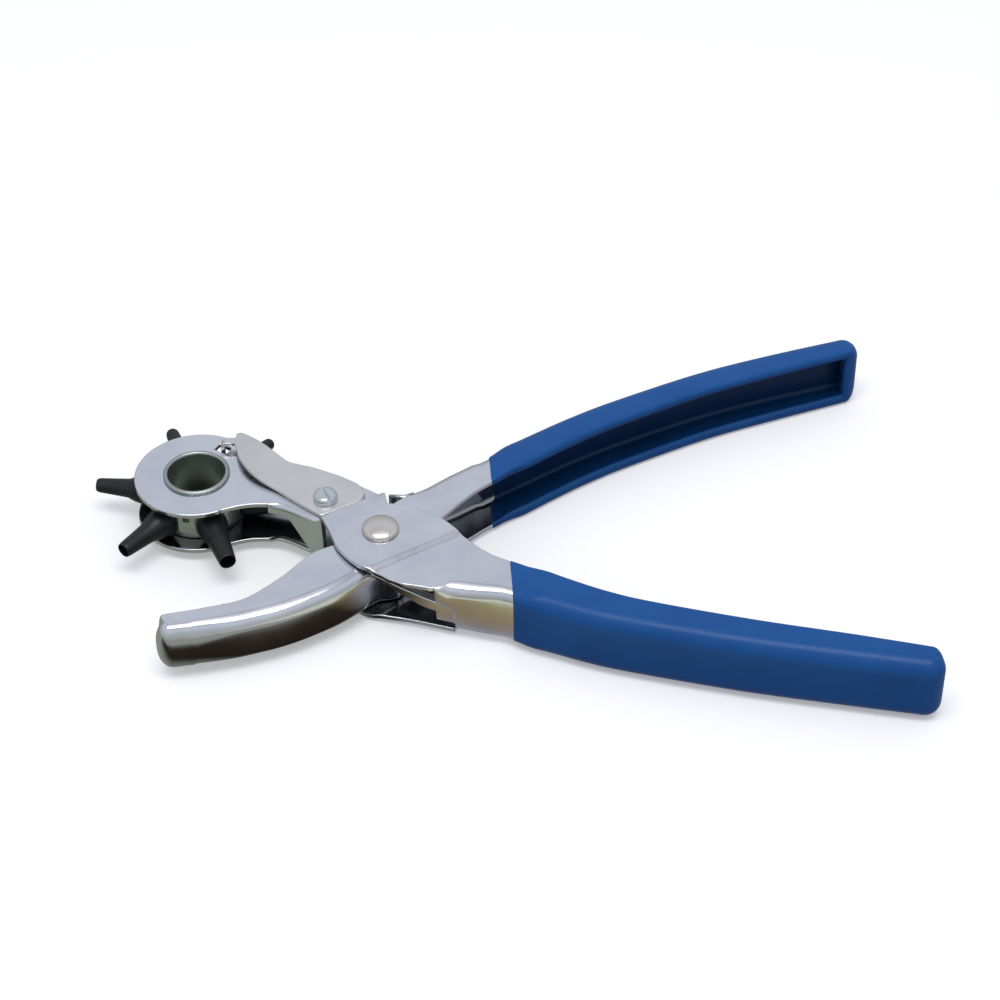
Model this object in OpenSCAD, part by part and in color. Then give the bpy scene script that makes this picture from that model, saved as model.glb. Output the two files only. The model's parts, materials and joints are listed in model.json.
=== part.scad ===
// Rotary hole punch: revolving leather punch pliers, folded from sheet steel.
// The row origin is the centre of the turret wheel's hollow rivet. +Z runs along its bore
// and +X runs towards the handles. Outlines are drawn about the pivot rivet, and placed()
// moves them to the row origin.

/* [Sheet steel] */
// Thickness of the sheet that both arms are folded from
sheet = 1.4; // [1.2:0.1:1.4]
// Half height over the two head plates
head_half = 6.9; // [6.8:0.1:7.2]
// Half height over the anvil jaw and its pivot ears
jaw_half = 7.3; // [7.1:0.1:7.3]
// Half height over the raised pivot plates
pivot_half = 9.1; // [9.1:0.1:9.3]
// Half height over the steel handles
handle_half = 8.5; // [8.4:0.1:8.6]

/* [Layout] */
// Distance from the pivot rivet to the wheel's axis, along the tool
wheel_back = 49; // [48.5:0.5:49.5]
// Distance from the pivot rivet to the wheel's axis, across the tool
wheel_side = 28.5; // [28:0.5:29]
// Radius of the head plates round the wheel
head_r = 16.8; // [16:0.2:17.2]
// Angle that the anvil jaw turns from wide open to closed
close_angle = 27; // [24:1:27]

/* [Turret wheel] */
// Radius of the wheel's rim
wheel_r = 13.2; // [12.8:0.2:13.4]
// Thickness of the wheel
wheel_t = 8.8; // [8.6:0.1:9]
// Height of the punch tubes' axes above the middle of the tool
wheel_z = -0.8; // [-0.9:0.1:-0.7]
// Angle of the first punch tube with the tool wide open
wheel_turn = 47; // [40:1:55]
// Distance from the wheel's axis to the cutting edges
tip_reach = 28.6; // [27:0.2:28.6]
// Smallest hole that the tool punches
smallest_hole = 2; // [1.5:0.5:2.5]
// Step between one hole size and the next
hole_step = 0.5; // [0.3:0.1:0.5]

/* [Rivets and screw] */
// Inner radius of the wheel's hollow rivet
hollow_bore_r = 7.4; // [7:0.1:7.4]
// Wall of the hollow rivet
hollow_wall = 0.7; // [0.6:0.1:0.7]
// Shank radius of the pivot rivet
pivot_r = 3; // [2.5:0.1:3.2]
// Head radius of the pivot rivet
pivot_head_r = 4.95; // [4.5:0.05:5.5]
// Shank radius of the detent screw
screw_r = 2; // [1.5:0.1:2]

/* [Grips] */
// Thickness of the dipped plastic on the outside of a handle
dip = 1.1; // [0.8:0.1:1.1]
// Thickness of the dipped plastic inside a handle
lining = 0.6; // [0.4:0.1:0.8]

/* [Hidden] */
$fn = 72;
tubes = 6;
run_gap = 0.08;
slit = 0.1;
strike_angle = 265.5;
strike_gap = 0.35;
wheel_at = [-wheel_back, wheel_side];
hollow_r = hollow_bore_r + hollow_wall;
wheel_top = wheel_z + wheel_t / 2;
seat_reach = 12.4;
shank_r = 3.4;
collar_r = 4.3;
leaf_t = 1.1;
leaf_z = head_half + slit;
screw_at = [-14.3, 14.5];
tooth_angle = 55.5;
tooth_at = wheel_at + 12.2 * [cos(tooth_angle), sin(tooth_angle)];
grip_half = handle_half + dip;
big = 200;

// Ends of the two crease lines where the pivot plates are pressed outward
head_crease = [[-15.8, 7], [1.5, 15.5]];
handle_crease = [[-3.1, -14.9], [20.7, -2.2]];

// Stations along the middle of each handle: x, y and half width
lower_stations = [[33, -20.9, 6], [43, -26.4, 5], [55, -32.6, 4.5], [67, -37.3, 4.2],
    [91.5, -45.3, 4], [115.5, -52, 3.7], [134, -57.2, 3.2]];
upper_stations = [[29.8, 23.3, 4.8], [38.5, 29.1, 4.5], [47, 34.5, 4.3], [56, 39.8, 4.2],
    [67, 45.4, 4.1], [90.5, 55.6, 3.9], [110, 62.1, 3.7], [133.2, 68.8, 3.2]];

// ---- Curves ----

function blend4(a, b, c, d, t) = 0.5 * (2 * b + (c - a) * t
    + (2 * a - 5 * b + 4 * c - d) * t * t + (3 * b - a - 3 * c + d) * t * t * t);

// Smooth curve through every given point
function curve(p, n = 4) = [for (i = [0 : len(p) - 2]) for (k = [0 : n - 1])
    blend4(p[max(i - 1, 0)], p[i], p[i + 1], p[min(i + 2, len(p) - 1)], k / n), p[len(p) - 1]];

function arc(c, r, a0, a1, n = 12) =
    [for (i = [0 : n]) let (a = a0 + (a1 - a0) * i / n) c + r * [cos(a), sin(a)]];

function back(p) = [for (i = [len(p) - 1 : -1 : 0]) p[i]];
function flat(p) = [p[0], p[1]];

// Unit direction of a line of points at point i
function run(p, i) = let (d = flat(p[min(i + 1, len(p) - 1)]) - flat(p[max(i - 1, 0)])) d / norm(d);
function left(d) = [-d[1], d[0]];

// A line of points moved to its own left
function shifted(p, d) = [for (i = [0 : len(p) - 1]) flat(p[i]) + d * left(run(p, i))];

// One side of a handle: side 1 is to the left of its stations and -1 to the right
function edge(s, side, extra = 0) =
    [for (i = [0 : len(s) - 1]) flat(s[i]) + side * (s[i][2] + extra) * left(run(s, i))];

// Round end of a handle, between its right side and its left
function cap(s, extra = 0) = let (n = len(s) - 1, d = run(s, n), a = atan2(d[1], d[0]))
    arc(flat(s[n]), s[n][2] + extra, a - 75, a + 75, 10);

function turned(p, a) = [p[0] * cos(a) - p[1] * sin(a), p[0] * sin(a) + p[1] * cos(a)];

lower_line = curve(lower_stations);
upper_line = curve(upper_stations);

// ---- Shared shapes ----

module placed() translate([wheel_back, -wheel_side, 0]) children();

module at_wheel() translate([wheel_at[0], wheel_at[1], 0]) children();

// A flat outline as two sheets, with their outer faces at +half and -half
module pair(half) {
    for (side = [0, 1]) mirror([0, 0, side])
        translate([0, 0, half - sheet]) linear_extrude(sheet) children();
}

module slab(half) linear_extrude(2 * half, center = true) children();

// A folded wall as thick as the sheet, to the left of a line of points
module wall_strip(p) polygon(concat(p, back(shifted(p, sheet))));

// The crease wall that lifts a pivot plate above the sheet beside it
module crease_wall(line, side, from) {
    strip = concat(line, back(shifted(line, side * sheet)));
    for (s = [0, 1]) mirror([0, 0, s])
        translate([0, 0, from]) linear_extrude(pivot_half - from) polygon(strip);
}

// ---- Punch arm: head fork, pivot plates and lower handle ----

throat_edge = curve([[-42.3, 13.2], [-37, 14.7], [-33, 15], [-29, 14.5], [-25, 12.8],
    [-21, 10], [-18, 7.9], head_crease[0]]);
head_back = curve([head_crease[1], [-5, 20.4], [-10.5, 24.5], [-17, 28.2], [-21, 29.6],
    [-24.3, 30.8], [-27, 33.4], [-31.4, 38.3], [-36.7, 42.6], [-41, 43.3]]);
pivot_right = curve([[2, 10.6], [5.4, 9.6], [9.3, 8.2], [13.2, 5.8], [16.7, 2.9],
    [19.3, -0.2], handle_crease[1]]);
pivot_left = curve([handle_crease[0], [-6.4, -12.9], [-9.6, -9], [-11.7, -5.3],
    [-12.9, -1.5], [-14, 2], head_crease[0]]);
lower_lead_in = curve([handle_crease[1], [22.6, -4.6], [25, -7.6], [28.2, -10.8]]);
lower_web_lead = curve([handle_crease[0], [1.4, -16.2], [6.5, -17.7], [12, -19.7],
    [18.3, -22.1], [24.4, -24.4]]);

module head_outline() {
    at_wheel() circle(head_r);
    polygon(concat(throat_edge, head_back));
}

module pivot_outline() polygon(concat([head_crease[1]], pivot_right, pivot_left));

module lower_handle_outline() polygon(concat(lower_web_lead, edge(lower_line, -1),
    cap(lower_line), back(edge(lower_line, 1)), back(lower_lead_in)));

// The web starts just clear of the open jaw
module lower_web() wall_strip([for (p = concat(lower_web_lead, edge(lower_line, -1),
    cap(lower_line))) if (p[0] > -2) p]);

module lower_handle() {
    pair(handle_half) lower_handle_outline();
    slab(handle_half) lower_web();
}

// Room that the turning punch tubes need inside the head
module tube_sweep() at_wheel()
    translate([0, 0, wheel_z - collar_r - 0.35]) cylinder(r = tip_reach + 0.6, h = 2 * collar_r + 0.7);

// Opening in the lower handle's web beside the pivot: it leaves a slanting tongue above and
// a short tab in the middle
module web_opening() translate([0, -10, 0]) rotate([90, 0, 0]) linear_extrude(20)
    polygon([[-6, 6.6], [18, 0.4], [18, -0.6], [13.4, -0.6], [13.4, -4.8], [18, -4.8],
        [18, sheet - handle_half], [-6, sheet - handle_half]]);

module punch_arm() color("gainsboro") placed() difference() {
    union() {
        pair(head_half) head_outline();
        pair(pivot_half) pivot_outline();
        crease_wall(head_crease, -1, head_half - sheet);
        crease_wall(handle_crease, -1, handle_half - sheet);
        difference() {
            slab(head_half) wall_strip([for (p = throat_edge) if (p[0] > -30) p]);
            tube_sweep();
        }
        difference() {
            lower_handle();
            web_opening();
        }
    }
    at_wheel() cylinder(r = hollow_r, h = big, center = true);
    cylinder(r = pivot_r, h = big, center = true);
    translate([screw_at[0], screw_at[1], 0]) cylinder(r = screw_r, h = big);
    translate([tooth_at[0], tooth_at[1], 0]) rotate(tooth_angle)
        translate([-2, -2.4, 0]) cube([4, 4.8, big]);
}

// ---- Anvil arm: lower jaw, pivot ears and upper handle ----

ear_r = 11.2;
handle_from_r = 22;
nose_at = [-54.3, -29.3];
nose_r = 3.9;
jaw_inner = curve([[-11.4, -2.6], [-14, -3.6], [-18, -5.6], [-21.5, -9.2], [-25.5, -13.6],
    [-30, -17.6], [-34.5, -21], [-39, -22.8], [-45, -24], [-50, -25]]);
jaw_outer = curve([[-48, -32.5], [-42.6, -31.6], [-37.5, -30.6], [-32.4, -29.3],
    [-27.2, -27.8], [-22, -25.8], [-16.9, -23.3], [-11.7, -20.4], [-7.5, -17.4],
    [-4, -14.6], [0, -11.7]]);
upper_inner_lead = [[4.5, -8.8], [10, -2.4], [16.1, 5.4], [21.3, 10.4], [26.9, 15.2]];
upper_outer_lead = curve([[25, 26.6], [18.6, 22.6], [12, 18.6], [7, 15.6]]);
nose = arc(nose_at, nose_r, 82, 258);

module anvil_outline() {
    circle(ear_r);
    polygon(concat(jaw_inner, nose, jaw_outer, upper_inner_lead, edge(upper_line, -1),
        cap(upper_line), back(edge(upper_line, 1)), upper_outer_lead));
}

module anvil_arm_sheet() {
    pair(jaw_half) intersection() {
        anvil_outline();
        union() {
            circle(handle_from_r + 1);
            translate([-big, -big]) square([big, 2 * big]);
        }
    }
    pair(handle_half) difference() {
        anvil_outline();
        circle(handle_from_r);
        translate([-big, -big]) square([big, 2 * big]);
    }
}

// Half height of the stub by which the upper handle's web reaches behind the head
web_stub = 5;

module upper_handle_web() wall_strip(concat(cap(upper_line), back(edge(upper_line, 1)),
    upper_outer_lead));

module anvil_arm() color("lightgray") placed() difference() {
    union() {
        anvil_arm_sheet();
        slab(jaw_half) wall_strip(concat(nose, jaw_outer));
        slab(web_stub) wall_strip([[9, 16.8], [7, 15.6], [0.6, 15.9]]);
        slab(jaw_half) upper_handle_web();
        difference() {
            slab(handle_half) upper_handle_web();
            cylinder(r = handle_from_r, h = big, center = true);
        }
    }
    cylinder(r = pivot_r + 0.05, h = big, center = true);
}

// ---- Dipped grips ----

// Handle outline grown by extra, right round its end
function handle_ring(s, extra) = concat(edge(s, -1, extra), cap(s, extra), back(edge(s, 1, extra)));

// Hollow inside a lined handle: side is the open side
module lined_hollow(s, side) {
    inset = -sheet - lining;
    closed_edge = edge(s, -side, inset);
    open_edge = edge(s, side, 8);
    end = cap(s, inset);
    slab(handle_half - sheet - lining) polygon(side > 0
        ? concat(closed_edge, end, back(open_edge))
        : concat(open_edge, end, back(closed_edge)));
}

module lower_grip() color("royalblue") placed() difference() {
    slab(grip_half) polygon(handle_ring(lower_line, dip));
    lower_handle();
    lined_hollow(lower_line, 1);
    translate([-big + lower_stations[0][0] + 0.3, -big / 2, -big / 2]) cube(big);
}

module upper_grip() color("royalblue") placed() difference() {
    slab(grip_half) polygon(handle_ring(upper_line, dip));
    pair(handle_half) anvil_outline();
    slab(handle_half) upper_handle_web();
    lined_hollow(upper_line, -1);
    translate([-big + upper_stations[0][0] + 0.6, -big / 2, -big / 2]) cube(big);
}

// ---- Turret ----

module around_wheel(i) at_wheel() translate([0, 0, wheel_z]) rotate(wheel_turn + 360 / tubes * i)
    rotate([0, 90, 0]) children();

module punch_wheel() color("silver") placed() difference() {
    at_wheel() translate([0, 0, wheel_z]) rotate_extrude() polygon([[hollow_r + run_gap, -wheel_t / 2],
        [wheel_r - 0.9, -wheel_t / 2], [wheel_r, -wheel_t / 2 + 2.4], [wheel_r, wheel_t / 2],
        [hollow_r + run_gap, wheel_t / 2]]);
    for (i = [0 : tubes - 1]) {
        around_wheel(i) cylinder(r = shank_r, h = wheel_r);
        around_wheel(i) translate([-big / 2, -big / 2, seat_reach]) cube(big);
        at_wheel() rotate(wheel_turn + 360 / tubes * (i + 0.5))
            translate([11.2, -0.9, wheel_top - 2.6]) cube([4, 1.8, 4]);
    }
}

// A punch tube screwed into seat i of the wheel: hole is the diameter that it cuts
module punch_tube(i) {
    hole = smallest_hole + hole_step * i;
    tip_r = 0.95 + 0.35 * hole;
    color("dimgray") placed() around_wheel(i) rotate_extrude() polygon([[hole / 2, 8.9],
        [shank_r, 8.9], [shank_r, seat_reach], [collar_r, seat_reach], [collar_r, 14.2],
        [3.7, 16.8], [tip_r + 0.6, 19.6], [tip_r, tip_reach - 0.6], [hole / 2 + 0.15, tip_reach],
        [hole / 2, tip_reach]]);
}

module punch_tube_1() punch_tube(0);
module punch_tube_2() punch_tube(1);
module punch_tube_3() punch_tube(2);
module punch_tube_4() punch_tube(3);
module punch_tube_5() punch_tube(4);
module punch_tube_6() punch_tube(5);

lip = 0.45;
rim_z = head_half + 2 * lip;

module wheel_rivet() color("silver") placed() at_wheel() rotate_extrude() {
    translate([hollow_bore_r, -rim_z]) square([hollow_wall, 2 * rim_z]);
    for (s = [-1, 1]) translate([hollow_bore_r, s * (head_half + lip) - lip]) {
        square([hollow_wall + 0.25, 2 * lip]);
        translate([hollow_wall + 0.25, lip]) circle(lip, $fn = 24);
    }
}

module wheel_washer() color("gray") placed() at_wheel() translate([0, 0, wheel_top + 0.15])
    difference() {
        cylinder(r = 10.8, h = head_half - sheet - wheel_top - 0.2);
        translate([0, 0, -1]) cylinder(r = hollow_r + run_gap, h = 5);
    }

// ---- Detent ----

// The leaf's long direction runs from its screw to its tooth
leaf_angle = 138;
leaf_outline = concat([[-15.6, 7.8]], curve([[-21, 12.8], [-26.4, 18.2], [-31.7, 22.8],
    [-34.6, 26], [-36.6, 29.4], [-37.6, 32], [-39, 34.6], [-40.6, 36.6]]),
    [[-43.6, 38.6], [-41.6, 41.4]],
    curve([[-38.4, 42.2], [-36.3, 41.6], [-31.2, 37.2], [-26.8, 32.4], [-24.1, 29.8],
    [-20.8, 28.6], [-16.8, 27.2], [-10.3, 23.5], [-5.6, 20]]), [[-3.7, 16.2], [-4.9, 13.1]]);

// Side view along the leaf: flat under its screw, bowed up, and level again over its tooth
leaf_side = curve([[-30, leaf_z], [10, leaf_z], [16, leaf_z + 0.5], [24, leaf_z + 1.5],
    [32, leaf_z + 1.6], [44, leaf_z + 1]], 3);

module detent_spring() color("silver") placed() difference() {
    union() {
        intersection() {
            linear_extrude(20) polygon(leaf_outline);
            translate([screw_at[0], screw_at[1], 0]) rotate(leaf_angle) translate([0, 40, 0])
                rotate([90, 0, 0]) linear_extrude(80)
                polygon(concat(leaf_side, back([for (p = leaf_side) p + [0, leaf_t]])));
        }
        translate([tooth_at[0], tooth_at[1], wheel_top + 0.4]) rotate(tooth_angle)
            translate([-0.5, -0.8, 0]) cube([leaf_t, 1.6, leaf_z + 1.4 - wheel_top]);
    }
    translate([screw_at[0], screw_at[1], 0]) cylinder(r = screw_r + 0.2, h = big);
}

// Slotted pan-head screw
screw_head_r = 3.3;
screw_head_z = leaf_z + leaf_t + slit;
module detent_screw() color("lightgray") placed() translate([screw_at[0], screw_at[1], 0])
    difference() {
        union() {
            translate([0, 0, 2.4]) cylinder(r = screw_r, h = screw_head_z - 2.4 + 0.5);
            translate([0, 0, screw_head_z]) rotate_extrude()
                polygon(concat([[0, 0]], [[screw_head_r, 0]], arc([screw_head_r - 1.4, 0.5], 1.4, 0, 90),
                [[0, 1.9]]));
        }
        rotate(110) translate([-5, -0.45, screw_head_z + 1]) cube([10, 0.9, 3]);
    }

module detent_nut() color("gray") placed() translate([screw_at[0], screw_at[1], 0]) difference() {
    translate([0, 0, head_half - sheet - 2.8]) cylinder(r = 3.9, h = 2.8, $fn = 6);
    cylinder(r = screw_r, h = big);
}

// ---- Pivot ----

dome_h = 2.1;
dome_r = (pivot_head_r * pivot_head_r + dome_h * dome_h) / (2 * dome_h);

module pivot_rivet() color("silver") placed() {
    translate([0, 0, -grip_half + 0.4]) cylinder(r = pivot_r, h = grip_half + pivot_half + 0.2);
    translate([0, 0, -grip_half]) cylinder(r = pivot_head_r, h = grip_half - pivot_half);
    intersection() {
        translate([0, 0, pivot_half + dome_h - dome_r]) sphere(dome_r);
        translate([0, 0, pivot_half]) cylinder(r = pivot_head_r, h = dome_h + 1);
    }
}

module pivot_sleeve() color("gray") placed() difference() {
    cylinder(r = 4.2, h = 2 * (jaw_half - sheet - slit), center = true);
    cylinder(r = pivot_r + run_gap / 2, h = big, center = true);
}

// Torsion spring round the sleeve: one leg presses on each handle's web
wire_r = 0.75;
coil_r = 5.2;
coil_rise = 3.8;
leg_ends = [[26, -22], [21.8, 21.9]];
leg_start = atan2(leg_ends[0][1], leg_ends[0][0]) - acos(coil_r / norm(leg_ends[0]));
leg_finish = atan2(leg_ends[1][1], leg_ends[1][0]) + acos(coil_r / norm(leg_ends[1])) - 1080;
coil_steps = 54;
spring_path = concat([[leg_ends[0][0], leg_ends[0][1], -coil_rise / 2]],
    [for (i = [0 : coil_steps]) let (a = leg_start + (leg_finish - leg_start) * i / coil_steps)
        [coil_r * cos(a), coil_r * sin(a), coil_rise * (i / coil_steps - 0.5)]],
    [[leg_ends[1][0], leg_ends[1][1], coil_rise / 2]]);

// Round wire swept along a path that never runs straight up
module wire(path, r, sides = 10) {
    n = len(path);
    rings = [for (i = [0 : n - 1]) let (d = path[min(i + 1, n - 1)] - path[max(i - 1, 0)],
        t = d / norm(d), u = cross([0, 0, 1], t) / norm(cross([0, 0, 1], t)), v = cross(t, u))
        for (k = [0 : sides - 1]) path[i] + r * (cos(360 * k / sides) * u + sin(360 * k / sides) * v)];
    skin = [for (i = [0 : n - 2]) for (k = [0 : sides - 1]) let (m = (k + 1) % sides)
        [i * sides + k, (i + 1) * sides + k, (i + 1) * sides + m, i * sides + m]];
    polyhedron(rings, concat(skin, [[for (k = [0 : sides - 1]) k]],
        [[for (k = [sides - 1 : -1 : 0]) (n - 1) * sides + k]]));
}

module opening_spring() color("dimgray") placed() wire(spring_path, wire_r);

// ---- Anvil ----

strike_at = wheel_at + (tip_reach + strike_gap) * [cos(strike_angle), sin(strike_angle)];
anvil_at = turned(strike_at, close_angle);
pad_t = 2.2;
pad_width = 2 * (jaw_half - sheet) - 0.2;

// Local frame of the anvil: x along the jaw, y out of its face towards the wheel
module at_anvil() translate([anvil_at[0], anvil_at[1], 0])
    rotate(strike_angle + close_angle - 270) children();

module anvil_pad() color("goldenrod") placed() at_anvil()
    translate([-5.2, -pad_t, -pad_width / 2]) cube([10.4, pad_t, pad_width]);

module anvil_saddle() color("gray") placed() difference() {
    at_anvil() translate([-5.2, -pad_t - 6, -pad_width / 2]) cube([10.4, 6, pad_width]);
    slab(big / 2) polygon(concat(shifted(jaw_outer, sheet), [[0, -60], [-60, -60]]));
}

punch_arm();
anvil_arm();
lower_grip();
upper_grip();
punch_wheel();
punch_tube_1();
punch_tube_2();
punch_tube_3();
punch_tube_4();
punch_tube_5();
punch_tube_6();
wheel_rivet();
wheel_washer();
detent_spring();
detent_screw();
detent_nut();
pivot_rivet();
pivot_sleeve();
opening_spring();
anvil_pad();
anvil_saddle();
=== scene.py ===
"""Rotary hole punch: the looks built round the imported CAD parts.

Lengths inside the builders are millimetres about the pivot rivet, with +Z along the rivets.
put() moves them to the shared frame, in metres.
"""

import json
import math

import bmesh
import bpy
import numpy as np
from mathutils import Matrix, Vector
from mathutils.geometry import delaunay_2d_cdt


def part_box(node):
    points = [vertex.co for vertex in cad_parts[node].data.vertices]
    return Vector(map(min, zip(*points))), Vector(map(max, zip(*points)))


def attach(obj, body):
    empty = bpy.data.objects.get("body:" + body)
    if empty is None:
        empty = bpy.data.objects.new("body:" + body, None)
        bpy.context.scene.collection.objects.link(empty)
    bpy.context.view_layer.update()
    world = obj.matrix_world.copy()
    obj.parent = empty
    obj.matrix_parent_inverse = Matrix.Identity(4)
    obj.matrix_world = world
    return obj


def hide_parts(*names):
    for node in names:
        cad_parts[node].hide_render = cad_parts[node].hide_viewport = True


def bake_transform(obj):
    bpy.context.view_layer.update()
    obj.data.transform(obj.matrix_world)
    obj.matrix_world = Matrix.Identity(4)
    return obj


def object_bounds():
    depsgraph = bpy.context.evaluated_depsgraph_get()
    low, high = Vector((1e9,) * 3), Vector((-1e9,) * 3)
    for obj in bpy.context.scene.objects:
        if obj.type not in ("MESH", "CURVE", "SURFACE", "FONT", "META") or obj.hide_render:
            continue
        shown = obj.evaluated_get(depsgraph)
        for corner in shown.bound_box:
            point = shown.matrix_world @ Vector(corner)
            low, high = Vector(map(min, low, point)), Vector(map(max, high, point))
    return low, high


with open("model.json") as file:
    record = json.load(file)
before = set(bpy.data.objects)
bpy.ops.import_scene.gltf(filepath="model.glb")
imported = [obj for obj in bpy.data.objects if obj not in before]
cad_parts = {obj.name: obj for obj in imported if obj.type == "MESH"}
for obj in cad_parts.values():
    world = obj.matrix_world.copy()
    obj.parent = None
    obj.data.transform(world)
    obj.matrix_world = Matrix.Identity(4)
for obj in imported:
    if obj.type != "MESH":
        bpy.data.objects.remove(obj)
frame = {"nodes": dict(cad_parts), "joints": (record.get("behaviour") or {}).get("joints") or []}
cad_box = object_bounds()

MM = 0.001
JOINTS = {joint["name"]: joint for joint in frame["joints"]}
PIVOT = np.array(JOINTS["jaw_close"]["pos_m"]) / MM
WHEEL = -PIVOT[:2]


def node_box(node):
    """Lowest and highest corner of a CAD node, in millimetres about the pivot."""
    low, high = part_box(node)
    return np.array(low) / MM - PIVOT, np.array(high) / MM - PIVOT


# ---- Sizes, some read from the imported parts ----

SHEET = 1.4
PIVOT_HALF = node_box("punch_arm")[1][2]
HANDLE_HALF = node_box("anvil_arm")[1][2]
GRIP_HALF = node_box("lower_grip")[1][2]
HEAD_HALF = 6.9
JAW_HALF = 7.3
DIP = GRIP_HALF - HANDLE_HALF
LINING = 0.6
HEAD_R = 16.8
RIM = 0.35
HANDLE_FOLD = 3.3
JAW_FOLD = 4.0
THROAT_FOLD = 1.6
SCREW_AT = np.array([-14.3, 14.5])
SCREW_R = 2.0
HOLLOW_R = 8.1
PIVOT_R = 3.0
WHEEL_LOW, WHEEL_HIGH = node_box("punch_wheel")
TOOTH_ANGLE = 55.5
TUBES = 6
WHEEL_TURN = 47
SMALLEST_HOLE, HOLE_STEP = 2.0, 0.5
TIP_REACH = 28.6
TOOTH_REACH = 12.2
LEAF_GAP = 0.12
NEAR_DIP = 0.02

HEAD_CREASE = np.array([[-15.8, 7], [1.5, 15.5]])
HANDLE_CREASE = np.array([[-3.1, -14.9], [20.7, -2.2]])
LOWER_STATIONS = [[33, -20.9, 6], [43, -26.4, 5], [55, -32.6, 4.5], [67, -37.3, 4.2],
                  [91.5, -45.3, 4], [115.5, -52, 3.7], [134, -57.2, 3.2]]
UPPER_STATIONS = [[29.8, 23.3, 4.8], [38.5, 29.1, 4.5], [47, 34.5, 4.3], [56, 39.8, 4.2],
                  [67, 45.4, 4.1], [90.5, 55.6, 3.9], [110, 62.1, 3.7], [133.2, 68.8, 3.2]]
LOWER_DIP_X = 33.3
UPPER_DIP_X = 30.4


# ---- Plane curves ----

def curve(points, steps=6):
    """Smooth curve through every given point."""
    p = np.array(points, float)
    last = len(p) - 1
    out = []
    for i in range(last):
        a, b, c, d = p[max(i - 1, 0)], p[i], p[i + 1], p[min(i + 2, last)]
        for t in np.arange(steps) / steps:
            out.append(0.5 * (2 * b + (c - a) * t + (2 * a - 5 * b + 4 * c - d) * t**2
                              + (3 * b - a - 3 * c + d) * t**3))
    return np.array(out + [p[last]])


def arc(centre, radius, start, stop, steps=24):
    angles = np.radians(np.linspace(start, stop, steps + 1))
    return np.array(centre) + radius * np.c_[np.cos(angles), np.sin(angles)]


def unit(v):
    return v / np.maximum(np.linalg.norm(v, axis=-1, keepdims=True), 1e-9)


def left_of(d):
    return np.stack([-d[..., 1], d[..., 0]], -1)


def edge(stations, side, extra=0.0):
    """One side of a handle: side 1 is to the left of its stations and -1 to the right."""
    s = np.array(stations, float)
    line = s[:, :2]
    ahead = line[np.minimum(np.arange(len(s)) + 1, len(s) - 1)]
    behind = line[np.maximum(np.arange(len(s)) - 1, 0)]
    grown = (s[:, 2] + extra)[:, None]
    return line + side * grown * left_of(unit(ahead - behind))


def cap(stations, extra=0.0):
    """Round end of a handle, from its right side to its left."""
    s = np.array(stations, float)
    d = s[-1, :2] - s[-2, :2]
    middle = math.degrees(math.atan2(d[1], d[0]))
    return arc(s[-1, :2], s[-1, 2] + np.mean(extra), middle - 78, middle + 78, 20)


def joined(*parts):
    """Parts laid end to end as one loop, without repeated points, with each point's part number."""
    points, numbers = [], []
    for number, part in enumerate(parts):
        for p in np.atleast_2d(part):
            if not points or np.linalg.norm(p - points[-1]) > 0.05:
                points.append(p)
                numbers.append(number)
    while np.linalg.norm(points[0] - points[-1]) < 0.05:
        points.pop()
        numbers.pop()
    return np.array(points), np.array(numbers)


def refined(points, numbers, longest=1.1):
    """The loop with its long edges divided. New points on its closing edge are numbered -1."""
    out, out_numbers = [], []
    for i, p in enumerate(points):
        q = points[(i + 1) % len(points)]
        count = max(1, math.ceil(np.linalg.norm(q - p) / longest))
        for k in range(count):
            out.append(p + (q - p) * k / count)
            out_numbers.append(-1 if k and i == len(points) - 1 else numbers[i])
    return np.array(out), np.array(out_numbers)


def inward(loop):
    """Unit inward normal at each point of an anticlockwise loop, longer at its corners."""
    before = unit(loop - np.roll(loop, 1, 0))
    after = unit(np.roll(loop, -1, 0) - loop)
    n = unit(left_of(before) + left_of(after))
    slack = np.clip(np.sum(n * left_of(after), 1), 0.7, 1)
    return n / slack[:, None]


def smooth(t):
    t = np.clip(t, 0, 1)
    return t * t * (3 - 2 * t)


def side_of(line, p):
    """Distance of points to the left of a straight line."""
    d = unit(line[1] - line[0])
    return (p - line[0]) @ left_of(d)


def inside(loop, p):
    """Whether each point is inside the loop."""
    x, y = p[:, 0][:, None], p[:, 1][:, None]
    a, b = loop, np.roll(loop, -1, 0)
    crosses = (a[:, 1] > y) != (b[:, 1] > y)
    rise = np.where(np.abs(b[:, 1] - a[:, 1]) < 1e-12, 1e-12, b[:, 1] - a[:, 1])
    at = a[:, 0] + (y - a[:, 1]) / rise * (b[:, 0] - a[:, 0])
    return (crosses & (x < at)).sum(1) % 2 == 1


# ---- Meshes ----

def put(name, points, faces, painted_inner_shade=()):
    """A mesh object from millimetres about the pivot. The given per-point values say how far inside each
    point is; the materials darken by them, as painted shade.
    """
    mesh = bpy.data.meshes.new(name)
    placed = (np.array(points, float) + PIVOT) * MM
    mesh.from_pydata(placed.tolist(), [], faces)
    if len(painted_inner_shade):
        mesh.attributes.new("inside", "FLOAT", "POINT").data.foreach_set("value", painted_inner_shade)
    mesh.validate()
    obj = bpy.data.objects.new(name, mesh)
    bpy.context.scene.collection.objects.link(obj)
    bm = bmesh.new()
    bm.from_mesh(mesh)
    bmesh.ops.remove_doubles(bm, verts=bm.verts, dist=2e-6)
    bmesh.ops.delete(bm, geom=[v for v in bm.verts if not v.link_faces], context="VERTS")
    bmesh.ops.recalc_face_normals(bm, faces=bm.faces)
    bm.to_mesh(mesh)
    bm.free()
    mesh.polygons.foreach_set("use_smooth", [True] * len(mesh.polygons))
    return obj


def weigh_normals(obj):
    modifier = obj.modifiers.new("flat faces stay flat", "WEIGHTED_NORMAL")
    modifier.mode = "FACE_AREA"
    modifier.weight = 80


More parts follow.
